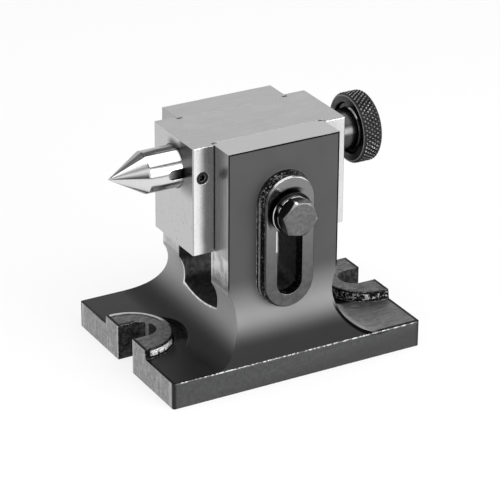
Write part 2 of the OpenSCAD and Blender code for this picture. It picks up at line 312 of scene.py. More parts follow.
def find_base_areas(f):
    """Sides, ends and underside of the plate, the bosses, the end slots and the rough pockets."""
    f.base_end = f.both(f.above(f.wide_x, HALF_LENGTH - 0.1, 0.05), f.endways)
    f.base_side = f.both(f.above(f.wide_y, HALF_WIDTH - 0.1, 0.05), f.sideways)
    f.underside = f.below(f.nz, -0.9, 0.05)
    f.boss_out = f.distance(f.wide_x, f.y, BOSS_X, 0.0)
    f.boss_face = f.both(f.flat_top, f.between(f.z, BOSS_TOP - 0.15, BOSS_TOP + 0.15))
    f.boss_side = f.both(f.standing, f.below(f.boss_out, BOSS_RADIUS + 1.3, 0.2),
                         f.above(f.z, BASE_TOP - 0.2, 0.2), f.low, f.without(f.base_end))
    f.slot_wall = f.both(f.below(f.wide_y, END_SLOT_HALF + 0.5), f.above(f.wide_x, END_SLOT_X - 2.5),
                         f.standing, f.without(f.base_end), f.low)
    past_boss = f.both(f.above(f.boss_out, BOSS_RADIUS + 1.2), f.below(f.wide_x, POCKET_X - 8.0, 3.0),
                       f.below(f.z, POCKET_TOP, 1.0))
    pocket_out = f.distance(f.wide_x, f.y, POCKET_X, 0.0)
    ragged_out = f.plus(pocket_out, f.times(f.noise(1.4, 3.0, 0.6, offset=17.0), 1.6))
    dark_stretch = f.either(f.both(f.left, f.above(f.y, -11.0, 1.5)),
                            f.both(f.right, f.above(f.y, -15.0, 2.0)))
    f.pocket = f.both(past_boss, f.below(ragged_out, POCKET_RADIUS + 0.6, 0.3), dark_stretch)
    f.pocket_rim = f.both(past_boss, f.below(pocket_out, POCKET_RADIUS + 1.6, 0.3))


def find_upright_areas(f):
    """Machined faces, the channel and its mouth, the pad and the clamp slot."""
    milled_low = 49.0
    mouth_high = 33.0
    f.ground_top = f.both(f.above(f.z, UPRIGHT_TOP - 0.2), f.flat_top)
    ragged_z = f.plus(f.z, f.times(f.noise(3.0, 3.0), 5.0))
    f.end_face = f.both(f.above(f.facing_x, 0.93, 0.03), f.above(ragged_z, milled_low, 2.5),
                        f.above(f.wide_x, UPRIGHT_END - 1.6, 0.8), f.below(f.wide_x, UPRIGHT_END + 0.2))
    f.inside = f.both(f.below(f.wide_y, CHANNEL_Y + 0.15), f.above(f.z, CHANNEL_FLOOR - 0.2),
                      f.below(f.facing_x, 0.5), f.without(f.ground_top))
    f.guide_wall = f.both(f.inside, f.above(f.z, BLOCK_BOTTOM + 1.0, 3.0))
    over_floor = f.minus(f.z, f.math("DIVIDE", f.times(f.y, f.y), CHANNEL_HOLLOW))
    f.mouth = f.both(f.above(f.facing_x, 0.6), f.below(f.wide_x, UPRIGHT_END + 8.0),
                     f.below(f.wide_y, CHANNEL_Y + 0.4), f.above(over_floor, CHANNEL_FLOOR - 0.8),
                     f.below(f.z, mouth_high, 2.0))
    f.clamp_wall = f.both(f.below(f.wide_x, CLAMP_SLOT_HALF + 0.1), f.below(f.y, -CHANNEL_Y + 0.5),
                          f.below(f.facing_y, 0.6),
                          f.between(f.z, CLAMP_SLOT_LOW - 7.0, CLAMP_SLOT_HIGH + 7.0))
    f.dark_walls = f.either(f.inside, f.clamp_wall)
    on_pad = f.above(f.z, PAD_LOW)
    f.pad_face = f.both(f.below(f.y, PAD_FACE_Y + 0.2), f.sideways, on_pad)
    f.pad_side = f.both(f.below(f.y, -CHEEK_Y - 0.25, 0.15), f.below(f.facing_y, 0.6, 0.04),
                        f.below(f.wide_x, PAD_HALF + 2.0), on_pad)
    f.pad_chamfer = f.both(f.below(f.y, PAD_FACE_Y + 0.75), f.between(f.facing_y, 0.6, 0.9, 0.04, 0.03),
                           on_pad)
    f.rough_black = f.either(f.boss_side, f.pocket, f.pad_side, f.slot_wall)


def find_edges(f):
    """Sharp edges, the creases where the flares meet the ends, and the foot of the pad's round top."""
    f.soft_edge = f.rounded(0.45)
    f.edge = f.edges(f.soft_edge)
    f.crease = f.both(f.above(f.wide_y, CHEEK_Y - 1.0), f.above(f.wide_x, UPRIGHT_END - 5.0),
                      f.between(f.z, BASE_TOP + 0.3, FLARE_TOP))
    f.pad_crease = f.both(f.between(f.y, -CHEEK_Y - 1.0, -CHEEK_Y + 0.1), f.below(f.wide_x, PAD_HALF + 3.0),
                          f.above(f.z, CLAMP_SLOT_HIGH - 2.0, 4.0), f.edge)


def paint_enamel(f):
    """Enamel, darkest on the base, with painted highlights over the curves that lead up from it: a band
    across the flares and the hollows under the end faces.
    """
    f.on_base = f.below(f.z, 24.0, 6.0)
    light = f.mix(f.haze, grey(0.034), grey(0.046))
    dark = f.mix(f.haze, grey(0.006), grey(0.012, 0.02))
    f.color = f.mix(f.on_base, light, dark)
    # Painted highlight: a paler band at the height of the flares.
    f.paint(f.between(f.z, 25.0, FLARE_TOP - 0.2, 7.0, 7.0), grey(0.114))
    # Painted highlight on the hollows under the end faces.
    hollow = f.both(f.above(f.facing_x, 0.30, 0.25), f.between(f.z, 24.0, 43.5, 8.5, 2.5))
    f.paint(hollow, grey(0.32))


def paint_worn_top(f):
    """The near right part of the base's top, worn to the iron, and a pale band and a dark line at the
    upright's foot there.
    """
    foot_x, foot_y, foot_radius = 70.4, -34.0, 35.0
    right_part = f.above(f.x, 30.0)
    f.worn_top = f.both(f.above(f.x, 30.0, 6.0), f.below(f.y, -12.0, 8.0), f.above(f.nz, 0.62, 0.08),
                        f.below(f.facing_y, 0.3), f.below(f.z, BASE_TOP + 4.0, 1.0), f.without(f.boss_face))
    streaks = f.mix(f.remap(f.swirl, 0.35, 0.65), grey(0.13), grey(0.24, 0.01))
    clouds = f.noise(4.0, 4.0, 0.6, stretch=(2.5, 1, 1), twist=1.0, offset=70.0)
    f.paint(f.worn_top, f.mix(f.remap(clouds, 0.45, 0.7, 0.0, 0.6), streaks, grey(0.34)))
    foot_out = f.distance(f.x, f.y, foot_x, foot_y)
    f.foot_light = f.both(f.above(f.nz, 0.6), f.below(f.z, BASE_TOP + 4.0), right_part,
                          f.below(f.y, -14.0, 3.0), f.patches,
                          f.between(foot_out, foot_radius - 1.7, foot_radius + 1.6, 1.8, 0.4))
    f.paint(f.foot_light, grey(0.42))
    curve_out = f.distance(f.x, f.z, END_CURVE_X, END_CURVE_Z)
    f.foot_line = f.both(f.below(f.y, -CHEEK_Y - 0.5), f.above(f.x, 20.0), f.below(f.z, 27.0, 3.0),
                         f.above(f.facing_y, 0.1, 0.05),
                         f.between(curve_out, END_CURVE_RADIUS - 0.3, END_CURVE_RADIUS + 1.5, 0.1, 0.2))
    f.paint(f.foot_line, grey(0.004))


def paint_base_sides(f):
    """The long sides in thin black paint, the ends bare and scuffed."""
    # Painted shade: the sides are painted darker towards the floor, more so towards the right end.
    fade = f.remap(f.plus(f.z, f.times(f.x, -0.10)), 0.0, 8.0, 0.35, 1.0)
    thin_paint = f.mix(f.remap(f.mottle, 0.35, 0.7), grey(0.02236, 0.03), grey(0.03956, 0.03))
    f.paint(f.base_side, f.mix(fade, grey(0.012), thin_paint))
    f.paint(f.base_end, f.shades(f.mottle, 0.3, 0.7, 0.17, 0.34))
    strokes = f.remap(f.noise(1.3, 3.0, 0.6, stretch=(1, 1, 6), offset=30.0), 0.54, 0.68)
    beside_slot = f.below(f.wide_y, END_SLOT_HALF + 1.3, 0.4)
    beside_corner = f.between(f.wide_y, HALF_WIDTH - 4.0, HALF_WIDTH - 1.5, 1.0, 0.3)
    f.paint(f.both(f.base_end, 0.35, f.either(strokes, beside_slot, beside_corner)), grey(0.62))


def paint_boss_faces(f):
    """Machined and smeared; the left one has a bright crescent behind the slot and dark rims."""
    smear = f.noise(2.0, 6.0, 0.7, stretch=(2.2, 1, 1), twist=1.2, offset=33.0)
    f.paint(f.boss_face, f.shades(smear, 0.36, 0.66, 0.095, 0.24))
    behind_slot = f.both(f.boss_face, f.left, f.above(f.y, 3.0, 2.0))
    uneven_out = f.plus(f.boss_out, f.times(f.noise(5.0, 3.0, 0.6, offset=60.0), 2.4))
    crescent = f.both(behind_slot, f.above(uneven_out, BOSS_RADIUS - 0.4, 0.4))
    f.paint(crescent, grey(0.66))
    dark_arc = f.between(uneven_out, BOSS_RADIUS - 1.5, BOSS_RADIUS - 0.7, 0.3, 0.3)
    f.paint(f.both(behind_slot, dark_arc, f.patches), grey(0.01))
    slot_rim = f.both(f.boss_face, f.left, f.below(f.away(f.y, END_SLOT_HALF + 0.9), 0.9, 0.5),
                      f.below(f.x, -57.0), f.patches)
    f.paint(slot_rim, grey(0.015))
    near_rim = f.both(f.boss_face, f.below(f.y, -2.0, 1.0), f.above(f.boss_out, BOSS_RADIUS - 0.75, 0.15))
    f.paint(near_rim, grey(0.003))


def paint_pad_face(f):
    """Milled and stained, with a painted highlight on the left edge of the slot and painted shade above and
    left of the washers.
    """
    level = f.mix(f.remap(f.z, 34.0, 96.0), grey(0.085), grey(0.24))
    f.paint(f.pad_face, f.mix(f.remap(f.mottle, 0.3, 0.7, 0.0, 0.4), level, grey(0.20)))
    # Painted highlight along the slot's left edge.
    slot_edge_highlight = f.both(f.pad_face, f.between(f.z, 61.5, 72.0, 0.5, 0.5),
                  f.between(f.x, -CLAMP_SLOT_HALF - 0.65, -CLAMP_SLOT_HALF + 0.05, 0.2))
    f.paint(slot_edge_highlight, grey(0.75))
    # Painted shade on the pad above and left of the washers.
    shade_radius = 12.2
    washer_shade = f.both(f.pad_face, f.below(f.distance(f.x, f.z, 0.0, BOLT_Z), shade_radius, 0.5),
                   f.remap(f.minus(f.z, f.x), BOLT_Z + 1.0, BOLT_Z + 8.0))
    f.paint(washer_shade, grey(0.015))


def paint_walls(f):
    """The channel and the clamp slot: dark as painted shade, with a paler band low down as painted light, and
    milled guides above the block.
    """
    band = f.both(f.inside, f.between(f.z, 31.0, 39.5, 2.0, 2.0))
    pale = f.mix(band, grey(0.055), grey(0.23))
    dark = f.mix(band, grey(0.015), grey(0.09))
    f.paint(f.dark_walls, f.mix(f.remap(f.mottle, 0.35, 0.65), dark, pale))
    f.paint(f.guide_wall, f.shades(f.milling, 0.25, 0.75, 0.26, 0.36))


def boss_specks(f):
    """Bare metal on the boss sides: silver on the left one, blobs that thin out on the right one."""
    silver_area = f.both(f.boss_side, f.left, f.between(f.y, -21.5, -14.0, 0.1, 1.0),
                         f.between(f.z, BASE_TOP + 1.3, BOSS_TOP - 0.9, 0.3, 0.2), f.above(f.x, -63.0, 0.6))
    f.silver = f.both(f.remap(f.grit, 0.40, 0.48), f.remap(f.lumps, 0.34, 0.44), silver_area)
    thinning = f.remap(f.x, 52.0, 64.0, 0.0, 0.06)
    blobs = f.minus(f.noise(1.6, 3.0, 0.65, stretch=(1.3, 1.3, 1), offset=40.0), thinning)
    worn = f.both(f.boss_side, f.right, f.below(f.y, -4.0, 1.0),
                  f.between(f.z, BASE_TOP + 0.7, BOSS_TOP - 0.9, 0.2, 0.3),
                  f.remap(blobs, 0.48, 0.55, 0.0, 0.65))
    return f.either(f.silver, worn)


def pad_specks(f):
    """Bare metal on the pad's side: round its top and at its lower end."""
    flecks = f.remap(f.noise(1.1, 3.0, 0.7, offset=50.0), 0.53, 0.60)
    round_top = f.both(f.pad_side, f.above(f.z, CLAMP_SLOT_HIGH - 4.0, 3.0),
                       f.between(f.y, PAD_FACE_Y + 1.3, -CHEEK_Y - 1.0, 0.4, 0.4), flecks)
    lower_end = f.both(f.pad_side, f.below(f.z, 42.0, 3.0), flecks, f.without(f.clamp_wall))
    return f.either(round_top, lower_end)


def paint_rough_black(f):
    """Rough black boss sides, pockets, pad side and end slots, with specks of bare metal."""
    kept_plain = f.either(f.pocket, f.slot_wall)
    speck = f.both(f.remap(f.grit, 0.56, 0.66), f.remap(f.lumps, 0.48, 0.6), f.without(kept_plain),
                   f.without(f.both(f.pad_side, f.above(f.z, CLAMP_SLOT_HIGH - 6.0, 3.0))),
                   f.either(f.left, f.without(f.boss_side)))
    inner_side = f.both(f.left, f.low, f.above(f.x, -51.0, 0.6))
    speck = f.both(f.either(speck, boss_specks(f), pad_specks(f)), f.without(inner_side))
    f.paint(f.rough_black, f.mix(speck, grey(0.006), grey(0.46)))
    f.paint(f.silver, grey(0.80))
    # The pockets are painted nearly black: rough iron, deepened by painted shade in the recess beside the
    # bosses.
    f.paint(f.pocket, grey(0.0015))
    f.paint(f.slot_wall, f.shades(f.mottle, 0.35, 0.7, 0.010, 0.060))
    glint = f.both(f.slot_wall, f.left, f.between(f.y, 3.9, 5.3, 0.2, 0.2), f.above(f.z, 8.0, 1.0))
    f.paint(glint, grey(0.15))


def paint_pad_rims(f):
    """A broken line of painted highlight along the pad's foot, and a painted highlight on its chamfer where
    it faces up.
    """
    # Painted highlight along the pad's foot.
    pad_foot_highlight = f.both(f.pad_side, f.between(f.y, -CHEEK_Y - 2.4, -CHEEK_Y - 1.2, 0.2, 0.2),
                  f.below(f.z, CLAMP_SLOT_HIGH + 2.0, 4.0), f.remap(f.patches, 0.0, 1.0, 0.4, 1.0),
                  f.without(f.clamp_wall))
    f.paint(pad_foot_highlight, grey(0.45))
    # Painted highlight on the chamfer, brighter as it faces up.
    f.paint(f.pad_chamfer, f.mix(f.remap(f.nz, 0.25, 0.66), grey(0.05), grey(0.42)))


def paint_channel_mouth(f):
    """Bare edges round the mouth of the channel."""
    f.paint(f.both(f.mouth, f.patches), f.mix(f.chips, grey(0.50), grey(0.85)))
    far_edge = f.both(f.above(f.facing_x, 0.3), f.far, f.below(f.y, CHANNEL_Y + 1.1, 0.2),
                      f.between(f.z, 27.0, 39.0, 1.5, 1.0))
    f.paint(far_edge, grey(0.95))


def paint_end_faces(f):
    """Milled end faces; below the block they are blotched and painted lighter, painted light where the flange
    no longer shades them, and the far cheek's foot under the flange is painted light too.
    """
    f.paint(f.end_face, f.shades(f.milling, 0.25, 0.75, 0.31, 0.44))
    blotches = f.plus(f.noise(4.6, 4.0, 0.55, stretch=(1, 1, 1.8), offset=7.0),
                      f.plus(f.remap(f.y, -30.0, -24.0, 0.05, 0.0), f.remap(f.z, 46.0, 54.0, -0.05, 0.03)))
    blotches = f.plus(blotches, f.times(f.minus(f.mottle, 0.5), 0.40))
    stain = f.both(f.left, f.below(f.z, 52.5, 3.0), f.below(f.away(f.y, -21.5), 4.0, 2.0))
    blotches = f.minus(blotches, f.times(stain, 0.07))
    # Painted light: below the block the faces are painted lighter than above it, and blotched.
    below_block = f.both(f.end_face, f.below(f.z, BLOCK_BOTTOM, 1.5))
    f.paint(below_block, f.shades(blotches, 0.39, 0.66, 0.32, 0.66))
    f.paint(f.both(below_block, f.left, f.far), f.shades(blotches, 0.4, 0.7, 0.46, 0.56))
    # Painted light on the far cheek's foot under the block's flange, against its shade.
    far_foot = f.both(f.left, f.above(f.y, CHANNEL_Y), f.above(f.facing_x, 0.8),
                      f.between(f.z, 43.0, 50.0, 1.5, 1.5), f.without(f.end_face))
    f.paint(far_foot, f.shades(blotches, 0.4, 0.7, 0.46, 0.70))
    f.paint(f.both(below_block, f.near, f.below(f.wide_y, CHANNEL_Y + 1.0, 0.2)), grey(0.85))


def paint_ground_top(f):
    """Tops of the cheeks, with dark ends of the seam beside the block, and the bare underside."""
    f.paint(f.ground_top, f.shades(f.grinding, 0.3, 0.7, 0.42, 0.49))
    f.paint(f.both(f.ground_top, 0.4, f.near), grey(0.66))
    seam_end = f.both(f.ground_top, f.above(f.wide_x, UPRIGHT_END - 2.4, 0.3),
                      f.below(f.wide_y, CHANNEL_Y + 1.3, 0.2))
    f.paint(seam_end, grey(0.01))
    f.paint(f.underside, grey(0.35))


def paint_chips(f):
    """Chips and rub marks along the edges of the enamel, and a scraped line along the base's long edges."""
    top_of_channel = f.both(f.above(f.z, UPRIGHT_TOP - 0.6), f.below(f.wide_y, CHANNEL_Y + 0.6))
    upright_corner = f.both(f.low, f.standing, f.above(f.wide_x, HALF_LENGTH - 1.4),
                            f.above(f.wide_y, HALF_WIDTH - 1.4), f.below(f.facing_x, 0.97, 0.02),
                            f.below(f.facing_y, 0.97, 0.02))
    kept_dark = f.either(f.dark_walls, f.pocket_rim, top_of_channel, f.crease, f.pad_chamfer, upright_corner,
                         f.foot_line, f.pad_crease)
    machined = f.either(f.end_face, f.ground_top, f.pad_face, f.boss_face)
    f.bright_edge = f.both(f.edge, f.chips, f.without(kept_dark), f.without(machined))
    f.paint(f.times(f.bright_edge, 0.85), grey(0.55))
    f.scraped = f.both(f.base_side, f.above(f.z, BASE_TOP - 0.6, 0.15))
    f.paint(f.scraped, f.mix(f.both(f.chips, f.patches), grey(0.10), grey(0.55)))


def paint_outlines(f):
    """Dark lines along the edges of the base and the cheeks, and in the creases."""
    f.dark_corner = f.both(f.low, f.standing, f.above(f.wide_x, HALF_LENGTH - 1.6, 0.7),
                           f.above(f.wide_y, HALF_WIDTH - 1.6, 0.7))
    f.paint(f.dark_corner, grey(0.030))
    near_right = f.both(f.above(f.x, 38.0, 3.0), f.below(f.y, -HALF_WIDTH + 1.9, 0.3))
    along_side = f.both(f.either(f.above(f.wide_y, HALF_WIDTH - 0.7, 0.2), near_right),
                        f.below(f.z, BASE_TOP + 0.1))
    along_end = f.both(f.above(f.wide_x, HALF_LENGTH - 1.4, 0.3), f.low)
    f.outline = f.both(f.flat_top, f.either(along_side, along_end))
    f.crease_line = f.both(f.edge, f.crease, f.above(f.x, UPRIGHT_END - 5.0), f.below(f.z, 32.0, 3.0))
    f.paint(f.either(f.outline, f.crease_line, f.pad_crease), grey(0.004))
    cheek_face = f.both(f.sideways, f.between(f.wide_y, CHEEK_Y - 0.1, CHEEK_Y + 0.1, 0.05, 0.05),
                        f.above(f.z, 44.0, 2.0))
    f.cheek_rim = f.both(cheek_face, f.either(f.above(f.wide_x, UPRIGHT_END - 0.7, 0.15),
                                              f.above(f.z, UPRIGHT_TOP - 0.75, 0.15)))
    f.paint(f.cheek_rim, grey(0.003))


def casting_roughness(f):
    """Satin enamel; the machined faces are smoother and the rest duller."""
    result = f.remap(f.haze, 0.2, 0.8, 0.34, 0.42)
    result = f.blend(f.base_side, result, f.remap(f.mottle, 0.3, 0.7, 0.45, 0.6))
    scuffed = f.either(f.base_end, f.boss_face, f.worn_top)
    result = f.blend(scuffed, result, f.remap(f.mottle, 0.3, 0.7, 0.38, 0.55))
    pad = f.either(f.pad_face, f.pad_chamfer)
    result = f.blend(pad, result, f.remap(f.mottle, 0.3, 0.7, 0.12, 0.20))
    result = f.blend(f.rough_black, result, f.remap(f.grit, 0.3, 0.7, 0.25, 0.55))
    result = f.blend(f.dark_walls, result, 0.5)
    return f.blend(f.either(f.ground_top, f.end_face, f.guide_wall), result, 0.28)


def casting_relief(f, bare_metal):
    """Lumps on the rough black areas, tool marks on machined ones and a fine skin on the enamel."""
    rough = f.plus(f.times(f.grit, 0.3), f.lumps)
    normal = f.bump(rough, 0.9, f.rough_black, f.soft_edge)
    marks = f.plus(f.times(f.grinding, f.ground_top), f.times(f.milling, f.end_face))
    marks = f.plus(marks, f.times(f.swirl, f.either(f.boss_face, f.worn_top)))
    normal = f.bump(marks, 0.012, 1.0, normal)
    enamel = f.both(f.without(bare_metal), f.without(f.rough_black))
    normal = f.bump(f.noise(0.8, 2.0, 0.5, offset=20.0), 0.010, enamel, normal)
    return f.bump(f.mottle, 0.05, f.either(f.base_end, f.base_side), normal)


def casting_finish():
    """Black enamelled iron with ground, milled, worn and rough areas, each painted over the one before."""
    f = Finish("painted_casting")
    find_directions(f)
    find_grains(f)
    find_base_areas(f)
    find_upright_areas(f)
    find_edges(f)
    paint_enamel(f)
    paint_worn_top(f)
    paint_base_sides(f)
    paint_boss_faces(f)
    paint_pad_face(f)
    paint_walls(f)
    paint_rough_black(f)
    paint_pad_rims(f)
    paint_channel_mouth(f)
    paint_end_faces(f)
    paint_ground_top(f)
    paint_chips(f)
    paint_outlines(f)
    bare_metal = f.either(f.ground_top, f.guide_wall, f.end_face, f.pad_face, f.boss_face, f.base_end,
                          f.underside, f.bright_edge, f.worn_top, f.cheek_rim, f.scraped, f.outline,
                          f.dark_corner, f.mouth, f.pad_chamfer, f.foot_line, f.foot_light, f.crease_line)
    specular = f.blend(f.both(f.on_base, f.without(f.base_side)), 0.38, 0.27)
    return f.done(roughness=casting_roughness(f), metallic=f.either(bare_metal, f.rough_black),
                  normal=casting_relief(f, bare_metal), specular=specular)


def ground_steel_finish():
    """Surface-ground steel of the block: fine parallel lines, small stains and painted highlights on the
    edges.
    """
    f = Finish("ground_steel")
    flat = f.above(f.size_of(f.nz), 0.9, 0.05)
    lines_flat = f.noise(0.4, 4.0, 0.7, stretch=(40, 1, 40), offset=1.0)
    lines_up = f.noise(0.4, 4.0, 0.7, stretch=(1, 1, 40), offset=5.0)
    lines = f.blend(flat, lines_up, lines_flat)
    haze = f.noise(9.0, 5.0, 0.6)
    f.color = f.shades(lines, 0.25, 0.75, 0.40, 0.47)
    f.paint(f.remap(haze, 0.4, 0.75, 0.0, 0.35), grey(0.52))

    # The end faces, with the dark mirror image of the centre round the bore of the left one
    end = f.above(f.size_of(f.nx), 0.9, 0.05)
    f.paint(f.both(end, 0.35), grey(0.64))
    left_end = f.both(end, f.below(f.x, BLOCK_LEFT + 4.0))
    out = f.distance(f.y, f.z, 0.0, AXIS_Z)
    aside = f.both(f.below(f.y, -6.5, 2.5), f.above(f.z, 88.5, 4.5))
    above_bore = f.both(f.below(out, 13.0, 2.0), f.above(f.z, AXIS_Z + 5.0, 3.0), f.below(f.y, 4.0, 3.0))
    f.paint(f.both(left_end, f.either(f.times(aside, 0.72), above_bore)), grey(0.07))
    f.paint(f.both(left_end, f.below(out, 10.5, 0.15)), grey(0.01))

    # The near sides of the flanges, in painted light: the left one dark with a painted highlight at its outer
    # end, the right one pale.
    flange_side = f.both(f.below(f.ny, -0.9, 0.05), f.above(f.size_of(f.x), UPRIGHT_END))
    f.paint(f.both(flange_side, f.below(f.x, 0.0)), f.shades(lines, 0.25, 0.75, 0.26, 0.34))
    f.paint(f.both(flange_side, f.below(f.x, BLOCK_LEFT + 5.0, 2.0)), f.shades(lines, 0.25, 0.75, 0.82, 0.92))
    f.paint(f.both(flange_side, f.above(f.x, UPRIGHT_END)), f.shades(lines, 0.25, 0.75, 0.64, 0.74))

    soft_edge = f.rounded(0.35)
    # Painted highlights along the sharp edges, except where the block lies against the cheeks.
    against_cheek = f.both(f.below(f.size_of(f.x), UPRIGHT_END + 0.1),
                           f.below(f.size_of(f.y), CHANNEL_Y + 0.1))
    f.paint(f.both(f.edges(soft_edge), 0.7, f.without(against_cheek)), grey(0.62))
    stain = f.both(f.remap(f.noise(2.2, 5.0, 0.7, offset=8.0), 0.58, 0.68), f.below(f.size_of(f.nz), 0.5))
    f.paint(f.times(stain, 0.35), grey(0.22))
    return f.done(roughness=f.remap(haze, 0.25, 0.75, 0.20, 0.30),
                  normal=f.bump(lines, 0.010, 1.0, soft_edge))


def polished_finish():
    """The hardened centre: turned, then polished almost to a mirror."""
    f = Finish("polished_steel")
    rings = f.noise(0.35, 3.0, 0.6, stretch=(1, 40, 40))
    f.color = f.shades(rings, 0.3, 0.7, 0.68, 0.73)

    # Dark reflections, placed by the height on the round: 1 at the top of it, -1 at the bottom
    out = f.distance(f.y, f.z, 0.0, AXIS_Z)
    height = f.math("DIVIDE", f.minus(f.z, AXIS_Z), f.math("MAXIMUM", out, 0.05))
    cone = f.below(f.x, CONE_END_X)
    shade = f.both(cone, f.above(height, 0.09, 0.012), f.remap(height, 0.15, 0.48, 1.0, 0.0))
    f.paint(f.times(shade, 0.92), grey(0.04))
    f.paint(f.above(height, 0.955, 0.008), grey(0.38))
    f.paint(f.between(height, 0.925, 0.955, 0.008, 0.008), grey(0.05))
    f.paint(f.below(height, -0.88, 0.05), grey(0.12))

    # Painted shade in the keyway, darkening towards the block.
    keyway = f.both(f.between(f.y, -9.6, -7.0), f.below(f.away(f.z, AXIS_Z), 2.6), f.above(f.x, -55.0))
    f.paint(keyway, f.mix(f.remap(f.x, -49.0, -41.0), grey(0.40), grey(0.03)))
    roughness = f.blend(cone, f.remap(rings, 0.3, 0.7, 0.09, 0.15), 0.2)
    roughness = f.blend(keyway, roughness, 0.4)

    # The shank leans a little towards the tip beside the block, as its reflections show
    lean = f.vector_math("SCALE", (-0.19, 0.0, 0.0), scale=f.above(f.x, -52.0, 4.0))
    normal = f.bump(rings, 0.0004, 1.0, f.rounded(0.25))
    normal = f.vector_math("NORMALIZE", f.vector_math("ADD", normal, lean))
    return f.done(roughness=roughness, normal=normal)


def turned_steel_finish():
    """Plain turned steel of the feed screw and the pin."""
    f = Finish("turned_steel")
    rings = f.noise(0.3, 3.0, 0.6, stretch=(1, 30, 30))
    stains = f.noise(3.0, 4.0, 0.6, offset=3.0)
    f.color = f.shades(stains, 0.35, 0.7, 0.38, 0.52)
    return f.done(roughness=f.remap(rings, 0.3, 0.7, 0.24, 0.36),
                  normal=f.bump(rings, 0.012, 1.0, f.rounded(0.2)))


def bronze_finish():
    """Bronze of the bush, dulled by oil."""
    f = Finish("bronze")
    rings = f.noise(0.3, 3.0, 0.6, stretch=(1, 30, 30))
    oil = f.noise(2.5, 5.0, 0.6, offset=5.0)
    f.color = f.mix(f.remap(oil, 0.4, 0.7), (0.52, 0.33, 0.13, 1), (0.30, 0.19, 0.08, 1))
    return f.done(roughness=f.remap(oil, 0.3, 0.7, 0.28, 0.42),
                  normal=f.bump(rings, 0.010, 1.0, f.rounded(0.2)))


def black_oxide_finish(name, face, side, rough, edge_grey=0.50, edge_radius=0.3):
    """Black oxide on turned and forged steel.

    face is the grey of what looks along Y, side that of the rest, edge_grey that of the edges, worn and with
    painted highlights;
    rough is the lowest and the highest roughness.
    """
    f = Finish(name)
    mottle = f.noise(1.6, 5.0, 0.65)
    fine = f.noise(0.35, 3.0, 0.6, offset=7.0)
    sides = f.shades(mottle, 0.35, 0.7, side * 0.7, side * 1.4)
    # Painted shade on the sides below the head's middle and behind its front face.
    under_head = f.both(f.below(f.z, BOLT_Z + 3.6, 1.0), f.above(f.y, BOLT_FACE_Y + 5.0))
    sides = f.mix(under_head, sides, grey(0.012))
    faces = f.shades(mottle, 0.35, 0.68, face * 0.93, face * 1.18)
    # What faces along Y, the chamfers next to it included, takes the face grey; on the chamfers this is
    # painted light.
    f.color = f.mix(f.above(f.size_of(f.ny), 0.80, 0.03), sides, faces)

    soft_edge = f.rounded(edge_radius)
    edge = f.edges(soft_edge)
    # The edges in patches: wear, and painted highlights.
    f.paint(f.both(edge, f.remap(f.noise(1.2, 3.0, 0.6, offset=3.0), 0.35, 0.5), 0.8), grey(edge_grey))
    # Painted highlight on the left edges of the washers.
    washer_left = f.both(edge, f.below(f.x, -6.5, 1.0), f.below(f.away(f.z, BOLT_Z - 1.0), 6.0, 1.0),
                         f.between(f.y, PAD_FACE_Y - 2.1, PAD_FACE_Y - 1.0))
    f.paint(washer_left, grey(0.95))
    # Painted highlights at two corners of the head's front.
    head_front = f.below(f.y, BOLT_FACE_Y + 2.2)
    top_corner = f.below(f.distance(f.x, f.z, -2.2, 89.0), 0.7, 0.4)
    right_corner = f.both(f.above(f.x, 8.6, 0.2), f.below(f.away(f.z, 78.0), 3.0, 0.6))
    f.paint(f.both(head_front, f.either(top_corner, right_corner)), grey(0.62))
    normal = f.bump(f.plus(mottle, f.times(fine, 0.4)), 0.012, 1.0, soft_edge)
    return f.done(roughness=f.remap(mottle, 0.3, 0.7, *rough), normal=normal)


